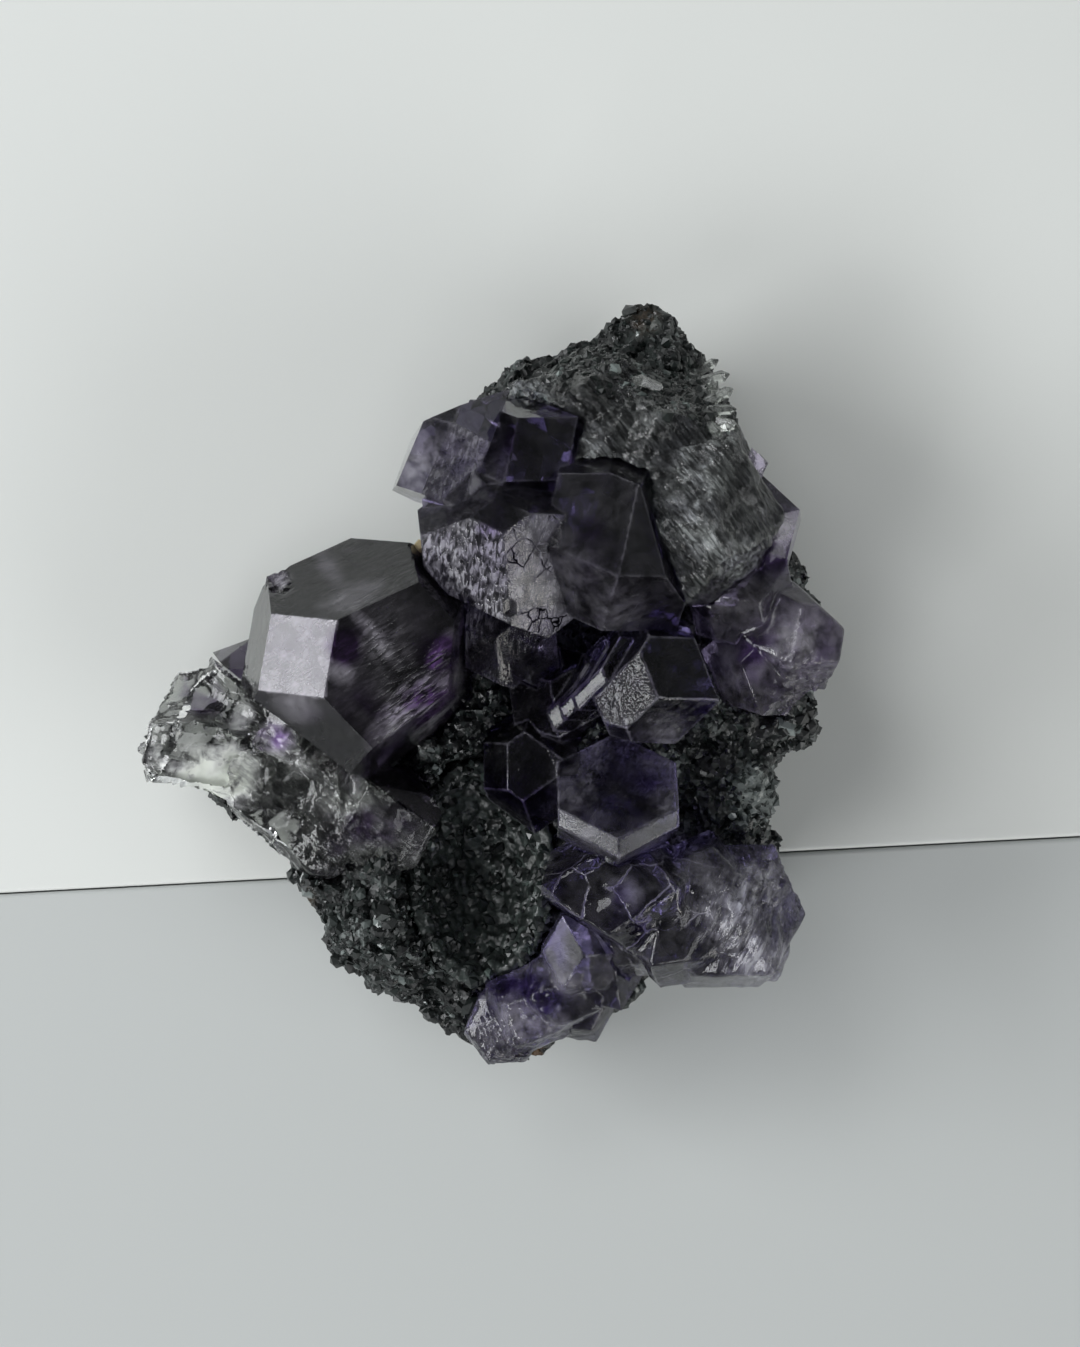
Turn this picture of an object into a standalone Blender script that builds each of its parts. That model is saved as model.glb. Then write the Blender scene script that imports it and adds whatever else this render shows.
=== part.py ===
import math
import random

import bmesh
import bpy
from mathutils import Euler, Matrix, Vector, noise

# Driving dimensions, in millimetres.
MM = 0.001
SPECIMEN_HEIGHT = 42.0      # top of the highest crystal over the flat underside
FACE_SPREAD = 0.012         # no two faces of a crystal grew quite alike
CONTACT_GAP = 0.35          # clearance between a crystal and the rock or the crystal beside it
ROCK_VOXEL = 1.3            # grain of the coarse rock surface
ROCK_TRIANGLES = 3000
ROCK_ROUGHNESS = 2.4        # height of the rock's lumps and pits
HOLLOW_RADII = (10.6, 16.0, 15.5)
HOLLOW_AT = (-7.2, -24.5, 26.0)
CRUST_THICKNESS = 1.1
CRUST_POINT = 0.7           # how far the crust's points stand out
CRUST_TOP = 19.0            # the crust lines the hollow up to this height

# The specimen is laid out as it is seen from straight above, from this height.
EYE_HEIGHT = 330.0
EYE_SCALE = 2531.5
EYE_CENTRE = (540.0, 673.5)


def seen(across, down, height):
    # a place in the view from above, given by its column, its row and its height
    step = (EYE_HEIGHT - height) / EYE_SCALE
    return Vector(((across - EYE_CENTRE[0]) * step, (EYE_CENTRE[1] - down) * step, height))


# Fluorite grows here as the rhombic dodecahedron, its twelve faces at one distance from the centre,
# with a cube face on some corners. A face that grew slower lies nearer to the centre and is larger:
# "faces" gives such a face its distance over the crystal's own, or a place that it passes through.
DODECAHEDRON = [(a, b, 0) for a in (1, -1) for b in (1, -1)]
DODECAHEDRON += [(a, 0, b) for a in (1, -1) for b in (1, -1)]
DODECAHEDRON += [(0, a, b) for a in (1, -1) for b in (1, -1)]

LEFT = [
    dict(at=Vector((-20.8, -0.4, 28.0)), size=13.6, turn=(102.2, -60.8, 160.1),
         faces={(1, 0, 0): 1.086, (0, 0, 1): 1.172, (0, 1, 0): 1.055, (1, -1, 0): 1.0, (0, 1, 1): 1.08,
                (0, -1, 0): seen(252, 650, 26)},
         breaks=[((-0.61, -0.79, 0.06), seen(308, 738, 24)), ((0.62, -0.76, 0.12), seen(418, 738, 24)),
                 ((0.99, -0.08, 0.1), seen(461, 670, 29))]),
    dict(at=seen(200, 735, 16), size=8.6, turn=(24, -38, 12), faces={(1, 1, 0): 0.85},
         breaks=[((-0.45, 0.75, 0.5), seen(190, 671, 18)), ((-0.97, 0.0, 0.2), seen(134, 735, 15)),
                 ((-0.78, 0.60, 0.15), seen(152, 698, 16)),
                 ((-0.25, -0.95, 0.1), seen(190, 796, 15))]),
    dict(at=seen(252, 715, 16), size=8.4, turn=(48, -12, 64), faces={},
         breaks=[((-0.45, 0.8, 0.3), seen(222, 655, 18)), ((-0.3, -0.1, 0.95), seen(262, 740, 22))]),
    dict(at=seen(300, 800, 16), size=9.0, turn=(58, -20, 44), faces={},
         breaks=[((-0.62, -0.76, 0.2), seen(245, 825, 16)), ((-0.2, -0.2, 0.96), seen(300, 800, 22.5)),
                 ((0.75, -0.6, 0.2), seen(372, 838, 16))]),
    dict(at=seen(385, 820, 19), size=6.0, turn=(32, -30, 10), faces={},
         breaks=[((0.2, -0.3, 0.93), seen(385, 820, 22.5))]),
]
UPPER = [
    dict(at=Vector((-4.8, 17.35, 31.0)), size=9.3, turn=(42.2, -26.8, -82.9), faces={(1, 0, -1): 1.466},
         breaks=[((-0.50, 0.80, 0.33), seen(458, 518, 39)), ((0.30, 0.86, 0.40), seen(512, 503, 40))]),
    dict(at=Vector((-5.6, 5.0, 26.0)), size=5.0, turn=(42.2, -26.8, -82.9), faces={(1, 0, -1): 1.3}),
    dict(at=Vector((-1.6, 3.2, 24.0)), size=3.6, turn=(42.2, -26.8, -82.9), faces={(1, 0, -1): 1.3}),
    dict(at=Vector((9.5, 15.3, 31.6)), size=9.0, turn=(38.4, -70.5, -96.6), faces={},
         breaks=[((0.93, 0.25, 0.25), seen(657, 545, 40)), ((-0.15, 0.92, 0.36), seen(588, 481, 40))]),
    dict(at=Vector((-11.5, 29.1, 28.0)), size=8.6, turn=(111.3, -83.0, 2.0),
         faces={(0, -1, 1): 0.62, (1, -1, 0): 0.96, (1, 0, -1): 0.94, (0, 1, -1): 0.34,
                (0, 0, -1): seen(456, 407, 38)},
         breaks=[((0.0, 0.2, -0.98), seen(478, 450, 14))]),
    dict(at=seen(518, 462, 28), size=6.6, turn=(10, -20, 35), faces={}),
    dict(at=seen(478, 490, 27), size=6.0, turn=(10, -20, 35), faces={}),
]
ETCHED = [
    dict(at=seen(652, 478, 22), size=11.4, turn=(14, -28, 22), faces={(1, 0, 0): 1.0}),
    dict(at=seen(692, 526, 29.5), size=9.2, turn=(50, -34, 66), faces={},
         breaks=[((-0.72, -0.64, 0.25), seen(671, 590, 34)), ((0.60, -0.75, 0.30), seen(702, 597, 33))]),
    dict(at=seen(557, 431, 23), size=6.2, turn=(20, -60, 30), faces={}),
    dict(at=seen(600, 425, 22), size=7.8, turn=(70, -10, 15), faces={}),
    dict(at=seen(610, 470, 26), size=7.0, turn=(25, -40, 75), faces={}),
]
RIGHT = [
    dict(at=seen(745, 532, 24), size=6.0, turn=(35, -40, 20), faces={}),
    dict(at=seen(790, 637, 24), size=6.0, turn=(20, -15, 30), faces={},
         breaks=[((0.68, 0.73, 0.1), seen(822, 607, 24))]),
    dict(at=seen(764, 665, 23), size=5.6, turn=(10, -50, 70), faces={}),
    dict(at=seen(742, 598, 24), size=5.6, turn=(62, -30, 40), faces={}),
    dict(at=seen(727, 470, 23), size=3.6, turn=(40, -10, 10), faces={}),
]
CENTRE = [
    dict(at=Vector((13.3, -0.8, 28.3)), size=6.6, turn=(41.2, -50.9, 114.2),
         faces={(1, 0, -1): seen(614, 677, 33.5), (0, 1, -1): seen(599, 710, 31.8),
                (0, 1, 0): seen(616, 725, 32.7)}),
    dict(at=seen(603, 668, 28), size=4.6, turn=(41.2, -50.9, 114.2), faces={(1, 0, -1): 0.30, (-1, 0, 1): 0.6}),
    dict(at=seen(590, 678, 26.6), size=4.6, turn=(41.2, -50.9, 114.2), faces={(1, 0, -1): 0.30, (-1, 0, 1): 0.5}),
    dict(at=seen(577, 692, 25), size=4.2, turn=(41.2, -50.9, 114.2), faces={(1, 0, -1): 0.45, (-1, 0, 1): 0.5}),
    dict(at=seen(617, 795, 30), size=7.1, turn=(56.7, -28.9, 143.9), faces={(1, 0, 1): 0.24}),
    dict(at=Vector((-0.5, -11.1, 20.7)), size=6.0, turn=(0, -31, 180), faces={(1, 0, 0): 0.94}),
    dict(at=seen(560, 700, 21), size=5.5, turn=(20, -30, 50), faces={}),
]
LOWER_RIGHT = [
    dict(at=seen(610, 900, 25), size=7.6, turn=(-20, -50, 10), faces={},
         breaks=[((-0.54, -0.84, 0.1), seen(592, 928, 26))]),
    dict(at=seen(728, 916, 22), size=8.0, turn=(40, -20, 60), faces={}),
    dict(at=seen(675, 925, 24), size=6.4, turn=(10, -35, 35), faces={}),
    dict(at=seen(648, 893, 27), size=5.2, turn=(50, -60, 20), faces={}),
    dict(at=seen(640, 935, 24), size=4.4, turn=(20, -20, 70), faces={}),
    dict(at=seen(700, 880, 25), size=4.6, turn=(65, -40, 5), faces={}),
    dict(at=seen(754, 931, 21), size=5.0, turn=(0, -50, 25), faces={},
         breaks=[((0.97, -0.22, 0.05), seen(790, 940, 20))]),
]
LOWER = [
    dict(at=seen(504, 1026, 17), size=4.4, turn=(30, -30, 15), faces={}),
    dict(at=seen(528, 1008, 19), size=4.6, turn=(12, -48, 50), faces={}),
    dict(at=seen(562, 988, 21), size=4.5, turn=(52, -18, 80), faces={}),
    dict(at=seen(599, 968, 20), size=4.4, turn=(60, -20, 40), faces={}),
    dict(at=seen(584, 950, 23), size=4.6, turn=(45, -35, 0), faces={}),
    dict(at=seen(578, 1005, 14), size=3.8, turn=(10, -40, 20), faces={}),
]

# A small four-sided growth pit on the edge between two faces of the upper middle crystal.
PIT = dict(at=seen(510.5, 611, 38.3), size=1.3, turn=(42.2, -26.8, -82.9), faces={})

# The rock's lumps: the middle of each and its half sizes across, along and up.
ROCK_LUMPS = [
    (seen(506, 715, 9), (26, 24, 12)),
    (seen(600, 500, 10), (20, 21, 12)),
    (seen(625, 745, 14), (12, 12, 13)),
    (seen(656, 352, 14), (5.0, 6.0, 7)),
    (seen(648, 387, 13), (9.0, 9.0, 10)),
    (seen(596, 414, 12), (9.0, 7.5, 10)),
    (seen(692, 645, 10), (17, 17, 12)),
    (seen(715, 700, 16), (7.0, 9.0, 9)),
    (seen(780, 718, 15), (5.6, 5.0, 7)),
    (seen(727, 790, 17), (7.0, 8.0, 8)),
    (seen(682, 858, 10), (13, 14, 12)),
    (seen(403, 905, 12), (10.0, 12.2, 12)),
    (seen(338, 858, 12), (7.4, 7.4, 9)),
    (seen(515, 968, 9), (13, 10, 10)),
    (seen(521, 1044, 9), (4.0, 3.2, 5.5)),
    (seen(282, 765, 9), (12, 7.5, 8)),
    (seen(530, 880, 8), (22, 19, 11)),
]

for leftover in list(bpy.data.objects):
    bpy.data.objects.remove(leftover, do_unlink=True)

specimen = bpy.data.collections.new("fluorite_cluster")
bpy.context.scene.collection.children.link(specimen)


def material(name, colour, roughness):
    made = bpy.data.materials.new(name)
    made.use_nodes = True
    shader = made.node_tree.nodes["Principled BSDF"]
    shader.inputs["Base Color"].default_value = (*colour, 1.0)
    shader.inputs["Roughness"].default_value = roughness
    shader.inputs["Metallic"].default_value = 0.0
    return made


def face_planes(crystal, grow):
    # every face of a crystal as its outward direction and a place on it
    turn = Euler([math.radians(a) for a in crystal["turn"]], "XYZ").to_matrix()
    planes = []
    for order, face in enumerate(DODECAHEDRON + [f for f in crystal["faces"] if f not in DODECAHEDRON]):
        outward = (turn @ Vector(face)).normalized()
        given = crystal["faces"].get(face, 1.0)
        if isinstance(given, Vector):
            far = outward.dot(given - crystal["at"])
        else:
            far = given * crystal["size"] * (1 + FACE_SPREAD * math.sin(2.7 * order + 1.3 * crystal["size"]))
        planes.append((outward, crystal["at"] + outward * (far + grow)))
    for outward, place in crystal.get("breaks", []):
        outward = Vector(outward).normalized()
        planes.append((outward, place + outward * grow))
    return planes


def crystal_mesh(crystal, grow=0.0):
    # a block cut down by one plane for each face
    form = bmesh.new()
    bmesh.ops.create_cube(form, size=4.5 * crystal["size"], matrix=Matrix.Translation(crystal["at"]))
    for outward, place in face_planes(crystal, grow):
        cut = bmesh.ops.bisect_plane(form, geom=form.verts[:] + form.edges[:] + form.faces[:], dist=1e-5,
                                     plane_co=place, plane_no=outward, clear_outer=True)
        rim = [e for e in cut["geom_cut"] if isinstance(e, bmesh.types.BMEdge) and e.is_boundary]
        if rim:
            bmesh.ops.holes_fill(form, edges=rim, sides=0)
    bmesh.ops.remove_doubles(form, verts=form.verts, dist=0.02)
    bmesh.ops.recalc_face_normals(form, faces=form.faces)
    return form


def add_object(name, form, surface=None):
    mesh = bpy.data.meshes.new(name)
    form.to_mesh(mesh)
    form.free()
    made = bpy.data.objects.new(name, mesh)
    specimen.objects.link(made)
    if surface:
        mesh.materials.append(surface)
    return made


def closed(mesh):
    form = bmesh.new()
    form.from_mesh(mesh)
    whole = len(form.faces) > 3 and all(e.is_manifold for e in form.edges)
    form.free()
    return whole


def combine(target, form, operation):
    # joins a shape to the target or cuts it away, and keeps only the result;
    # where the two meet too exactly to leave a closed body, the shape is moved by a hair
    tool = add_object("tool", form)
    step = target.modifiers.new("combine", "BOOLEAN")
    step.operation = operation
    step.object = tool
    for nudge in ((0, 0, 0), (13, 7, 5), (-11, 17, -9), (19, -13, 15), (-23, -9, 21)):
        tool.location = [n * 0.001 for n in nudge]
        bpy.context.view_layer.update()
        result = bpy.data.meshes.new_from_object(target.evaluated_get(bpy.context.evaluated_depsgraph_get()))
        if closed(result):
            break
        bpy.data.meshes.remove(result)
    else:
        raise ValueError("no closed body left in " + target.name)
    target.modifiers.clear()
    target.data = result
    bpy.data.objects.remove(tool, do_unlink=True)


def tidy(target, flat=0.35):
    # drops crumbs that a cut left loose, merges slivers and keeps each flat face whole
    form = bmesh.new()
    form.from_mesh(target.data)
    bmesh.ops.remove_doubles(form, verts=form.verts, dist=0.03)
    bmesh.ops.dissolve_degenerate(form, edges=form.edges, dist=0.02)
    bmesh.ops.dissolve_limit(form, angle_limit=math.radians(flat), verts=form.verts, edges=form.edges)
    bmesh.ops.triangulate(form, faces=form.faces)
    left = set(form.verts)
    groups = []
    while left:
        group = []
        stack = [left.pop()]
        while stack:
            corner = stack.pop()
            group.append(corner)
            for edge in corner.link_edges:
                other = edge.other_vert(corner)
                if other in left:
                    left.discard(other)
                    stack.append(other)
        groups.append(group)
    groups.sort(key=len)
    for group in groups[:-1]:
        bmesh.ops.delete(form, geom=group, context="VERTS")
    form.to_mesh(target.data)
    form.free()


def grown_together(name, crystals, surface, neighbours=()):
    made = add_object(name, crystal_mesh(crystals[0]), surface)
    for crystal in crystals[1:]:
        combine(made, crystal_mesh(crystal), "UNION")
    for crystal in neighbours:
        combine(made, crystal_mesh(crystal, CONTACT_GAP), "DIFFERENCE")
    tidy(made)
    return made


def ellipsoid(middle, radii, fineness):
    form = bmesh.new()
    bmesh.ops.create_icosphere(form, subdivisions=fineness, radius=1.0)
    bmesh.ops.scale(form, vec=radii, verts=form.verts)
    bmesh.ops.translate(form, vec=middle, verts=form.verts)
    return form


purple = material("purple_fluorite", (0.10, 0.08, 0.14), 0.12)
smoky = material("smoky_fluorite", (0.13, 0.12, 0.15), 0.10)
greygreen = material("greygreen_fluorite", (0.20, 0.22, 0.21), 0.35)
violet = material("violet_fluorite", (0.16, 0.12, 0.24), 0.15)
clearish = material("pale_fluorite", (0.34, 0.33, 0.38), 0.20)
rock = material("granular_rock", (0.045, 0.050, 0.048), 0.75)
druse = material("dark_druse", (0.030, 0.036, 0.036), 0.35)

grown_together("fluorite_left", LEFT, purple)
grown_together("fluorite_upper", UPPER, smoky, LEFT)
combine(bpy.data.objects["fluorite_upper"], crystal_mesh(PIT), "DIFFERENCE")
grown_together("fluorite_centre", CENTRE, smoky, LEFT + UPPER)
grown_together("fluorite_etched", ETCHED, greygreen, UPPER + CENTRE)
grown_together("fluorite_right", RIGHT, violet, UPPER + ETCHED + CENTRE)
grown_together("fluorite_lower_right", LOWER_RIGHT, clearish, CENTRE)
grown_together("fluorite_lower", LOWER, violet, LOWER_RIGHT + CENTRE)

# The rock: lumps run together, roughened, cut flat underneath and thinned to large facets.
lumps = bmesh.new()
for middle, radii in ROCK_LUMPS:
    one = ellipsoid(middle, radii, 4)
    piece = bpy.data.meshes.new("lump")
    one.to_mesh(piece)
    one.free()
    lumps.from_mesh(piece)
    bpy.data.meshes.remove(piece)
matrix = add_object("matrix", lumps, rock)
bpy.context.view_layer.objects.active = matrix
matrix.select_set(True)
joined = matrix.modifiers.new("joined", "REMESH")
joined.mode = "VOXEL"
joined.voxel_size = ROCK_VOXEL
bpy.ops.object.modifier_apply(modifier="joined")
for corner in matrix.data.vertices:
    spot = corner.co
    rise = noise.fractal(spot / 9.0, 1.0, 2.1, 3) * 0.9
    crag = noise.voronoi(spot / 6.5)[0]
    rise += (crag[1] - crag[0]) * 0.9 - 0.45
    corner.co += corner.normal * rise * ROCK_ROUGHNESS
again = matrix.modifiers.new("again", "REMESH")
again.mode = "VOXEL"
again.voxel_size = ROCK_VOXEL
bpy.ops.object.modifier_apply(modifier="again")
thin = matrix.modifiers.new("thin", "DECIMATE")
thin.ratio = ROCK_TRIANGLES / max(1, sum(len(p.vertices) - 2 for p in matrix.data.polygons))
bpy.ops.object.modifier_apply(modifier="thin")
form = bmesh.new()
form.from_mesh(matrix.data)
cut = bmesh.ops.bisect_plane(form, geom=form.verts[:] + form.edges[:] + form.faces[:], dist=1e-4,
                             plane_co=(0, 0, 0), plane_no=(0, 0, -1), clear_outer=True)
rim = [e for e in cut["geom_cut"] if isinstance(e, bmesh.types.BMEdge) and e.is_boundary]
bmesh.ops.holes_fill(form, edges=rim, sides=0)
form.to_mesh(matrix.data)
form.free()
print("rock before cuts", len(matrix.data.polygons))

combine(matrix, ellipsoid(HOLLOW_AT, HOLLOW_RADII, 3), "DIFFERENCE")
everything = LEFT + UPPER + CENTRE + ETCHED + RIGHT + LOWER_RIGHT + LOWER
for crystal in everything:
    combine(matrix, crystal_mesh(crystal, CONTACT_GAP), "DIFFERENCE")
tidy(matrix)

# The crust: a thin bowl in the hollow, its inner side all small points.
outer = [r - CONTACT_GAP for r in HOLLOW_RADII]
inner = [r - CRUST_THICKNESS for r in outer]
crust = add_object("druse_crust", ellipsoid(HOLLOW_AT, outer, 3), druse)
bowl = ellipsoid(HOLLOW_AT, inner, 4)
rng = random.Random(4)
for corner in bowl.verts:
    corner.co += (Vector(HOLLOW_AT) - corner.co).normalized() * rng.uniform(-0.25, 1.0) * CRUST_POINT
combine(crust, bowl, "DIFFERENCE")
top = bmesh.new()
bmesh.ops.create_cube(top, size=60, matrix=Matrix.Translation(Vector(HOLLOW_AT) + Vector((0, 0, 30 + CRUST_TOP - HOLLOW_AT[2]))))
combine(crust, top, "DIFFERENCE")
for crystal in everything:
    reach = (crystal["at"] - Vector(HOLLOW_AT)).length
    if reach < crystal["size"] * 1.5 + 16:
        combine(crust, crystal_mesh(crystal, CONTACT_GAP), "DIFFERENCE")
tidy(crust)

# Modelled in millimetres, kept in metres.
for made in specimen.objects:
    corners = [c.co.copy() for c in made.data.vertices]
    made.data.transform(Matrix.Scale(MM, 4))
    low = [round(min(c[i] for c in corners), 1) for i in range(3)]
    high = [round(max(c[i] for c in corners), 1) for i in range(3)]
    print(made.name, "triangles", sum(len(p.vertices) - 2 for p in made.data.polygons), "from", low, "to", high)
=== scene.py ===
import math

import bpy
import numpy as np
from mathutils import Matrix, Vector, noise


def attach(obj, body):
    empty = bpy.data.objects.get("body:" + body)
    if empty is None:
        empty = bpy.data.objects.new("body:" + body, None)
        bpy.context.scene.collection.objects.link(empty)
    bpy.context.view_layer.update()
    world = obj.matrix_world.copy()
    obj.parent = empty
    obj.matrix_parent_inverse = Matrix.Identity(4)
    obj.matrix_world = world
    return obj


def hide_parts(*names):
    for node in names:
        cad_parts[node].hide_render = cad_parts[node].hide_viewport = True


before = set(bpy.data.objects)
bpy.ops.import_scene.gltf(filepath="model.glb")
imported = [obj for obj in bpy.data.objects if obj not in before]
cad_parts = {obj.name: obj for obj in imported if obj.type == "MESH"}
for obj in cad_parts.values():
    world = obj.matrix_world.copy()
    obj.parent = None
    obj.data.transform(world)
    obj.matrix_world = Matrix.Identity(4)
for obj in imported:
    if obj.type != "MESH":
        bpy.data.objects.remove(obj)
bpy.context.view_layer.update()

mm = 0.001

# The photograph looks straight down on the specimen, which lies on its back. The height of the camera's eye and its
# sensor are in mm, and the scale is its focal length in pixels.
photo = dict(width=1080, height=1347, eyeHeight=330.0, scale=2531.5, sensor=36.0)


def seen(across, down, height):
    # the place, in metres, that the photograph shows at this column and row, at a height in mm
    step = (photo["eyeHeight"] - height) / photo["scale"]
    x = (across - photo["width"] / 2) * step
    y = (photo["height"] / 2 - down) * step
    return Vector((x, y, height)) * mm


def photoPlaces(points):
    # columns and rows of the photograph for an array of points in metres
    step = (photo["eyeHeight"] - points[:, 2] / mm) / photo["scale"]
    across = points[:, 0] / mm / step + photo["width"] / 2
    down = photo["height"] / 2 - points[:, 1] / mm / step
    return across, down


def linear(hexColour):
    # an sRGB hex value as the linear colour that the nodes take
    values = [int(hexColour[i:i + 2], 16) / 255 for i in (1, 3, 5)]
    values = [v / 12.92 if v <= 0.04045 else ((v + 0.055) / 1.055) ** 2.4 for v in values]
    return (*values, 1.0)


def eyeRay(across, down):
    # from the eye of the camera through a place of the photograph
    eye = Vector((0, 0, photo["eyeHeight"] * mm))
    return eye, (seen(across, down, 0) - eye).normalized()


def deselectAll():
    if bpy.context.object and bpy.context.object.mode != "OBJECT":
        bpy.ops.object.mode_set(mode="OBJECT")
    bpy.ops.object.select_all(action="DESELECT")


def pick(thing):
    deselectAll()
    thing.select_set(True)
    bpy.context.view_layer.objects.active = thing


def applyModifier(thing, kind, **settings):
    pick(thing)
    modifier = thing.modifiers.new(kind.title(), kind)
    for name, value in settings.items():
        setattr(modifier, name, value)
    bpy.ops.object.modifier_apply(modifier=modifier.name)


def workingCopy(nodeName, pieceName):
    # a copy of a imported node, its loose triangles merged, to be refined into the piece that is seen
    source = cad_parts[nodeName]
    pick(source)
    bpy.ops.object.duplicate()
    piece = bpy.context.object
    for key in [k for k in piece.keys() if k.startswith("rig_")]:
        del piece[key]
    piece.parent = None
    piece.name = piece.data.name = pieceName
    bpy.ops.object.mode_set(mode="EDIT")
    bpy.ops.mesh.select_all(action="SELECT")
    bpy.ops.mesh.remove_doubles(threshold=0.002 * mm)
    bpy.ops.mesh.delete_loose()
    bpy.ops.object.mode_set(mode="OBJECT")
    piece.data.materials.clear()
    return piece


def vertexArrays(mesh):
    places = np.empty(len(mesh.vertices) * 3)
    mesh.vertices.foreach_get("co", places)
    normals = np.empty(len(mesh.vertices) * 3)
    mesh.vertex_normals.foreach_get("vector", normals)
    return places.reshape(-1, 3), normals.reshape(-1, 3)


def softSpot(across, down, spot):
    # 1 in the middle of a spot of the photograph, falling softly to 0 at its rim: column, row, radius and strength,
    # and for a long one the way it runs, in degrees down from level, and how many times longer than wide
    column, row, radius, strength, turn, longer = (*spot, 0, 1)[:6]
    turn = math.radians(turn)
    a = (across - column) * math.cos(turn) + (down - row) * math.sin(turn)
    b = (down - row) * math.cos(turn) - (across - column) * math.sin(turn)
    away = np.hypot(a / longer, b) / radius
    return strength * np.clip(1.4 * (1 - away), 0, 1)


def paint(mesh, name, spots):
    # a value on each vertex, for the materials: the strongest of the spots that it lies in
    places, _ = vertexArrays(mesh)
    across, down = photoPlaces(places)
    value = np.zeros(len(places))
    for spot in spots:
        value = np.maximum(value, softSpot(across, down, spot))
    layer = mesh.attributes.new(name, "FLOAT", "POINT")
    layer.data.foreach_set("value", value.astype(np.float32))
    return value


def addNode(tree, kind, settings=None, links=None):
    # one node with its settings and what feeds it, each a socket, or a node whose first output is meant
    made = tree.nodes.new("ShaderNode" + kind)
    for name, value in (settings or {}).items():
        if name in made.inputs.keys() or isinstance(name, int):
            made.inputs[name].default_value = value
        else:
            setattr(made, name, value)
    for name, source in (links or {}).items():
        tree.links.new(source.outputs[0] if isinstance(source, bpy.types.Node) else source, made.inputs[name])
    return made


def setRamp(ramp, stops):
    # the colours along a ramp, each with its position
    elements = ramp.color_ramp.elements
    for element, (position, colour) in zip(elements, (stops[0], stops[-1])):
        element.position, element.color = position, linear(colour)
    for position, colour in stops[1:-1]:
        elements.new(position).color = linear(colour)


def newMaterial(name):
    made = bpy.data.materials.new(name)
    made.use_nodes = True
    made.node_tree.nodes.clear()
    return made, made.node_tree


# Fluorite is a soft, glassy, see-through mineral of low refraction, coloured in zones. Etched faces are frosted, and
# healed cracks and clouds inside it look milky. "way" is the degrees its strokes are turned, "stroke" how long they
# are and "web" how far apart its crack lines, in mm, "line" the colour of those, and "thin" the least of a cloud.
fluoriteLooks = {
    "left": dict(clear="#ece6f2", purple="#66487e", milk="#b6b5bb", haze=0.012, absorb="#6c5088", density=190.0,
                 thin=0.55, way=35, stroke=2.2, web=5.0, line="#3a3446"),
    "spar": dict(clear="#f6f8f5", purple="#7d6498", milk="#e2e6dd", haze=0.02, absorb="#747870", density=85.0,
                 way=-40, stroke=1.8, web=2.6, line="#15171a"),
    "upper": dict(clear="#e6e2ee", purple="#6a4a98", milk="#a2a4a3", haze=0.025, absorb="#64548c", density=135.0,
                  way=82, stroke=1.5, web=2.4, line="#08080c", darkCracks=True),
    "centre": dict(clear="#e4e0ee", purple="#6446a0", milk="#9a98a8", haze=0.012, absorb="#5c4a90", density=165.0,
                   way=60, stroke=1.5, web=3.0, line="#08080c"),
    "etched": dict(clear="#e4e8e6", purple="#6f6290", milk="#6f7b78", haze=0.07, absorb="#56645f", density=170.0,
                   way=-52, stroke=4.5, web=4.0, line="#22282a"),
    "right": dict(clear="#ebe5f1", purple="#7e5fa6", milk="#9a94a8", haze=0.10, absorb="#7a6a9a", density=85.0,
                  way=-50, stroke=4.0, web=4.0, line="#3a3446"),
    "lowerRight": dict(clear="#ece8f4", purple="#4e3c7a", milk="#b4bab8", haze=0.04, absorb="#6a5a9e",
                       density=115.0, way=66, stroke=4.0, web=5.2, line="#504a6a"),
    "lower": dict(clear="#e6e0f2", purple="#4c3d74", milk="#8c86a2", haze=0.05, absorb="#5c4c98", density=120.0,
                  way=30, stroke=2.0, web=3.6, line="#8078a0"),
}

# What is painted on the crystals: clouds, colour, frosting, etched strokes, wormy ridges, crack lines, fresh breaks
crystalLayers = ["milk", "purple", "frost", "strokes", "worms", "cracks", "broken"]


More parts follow.
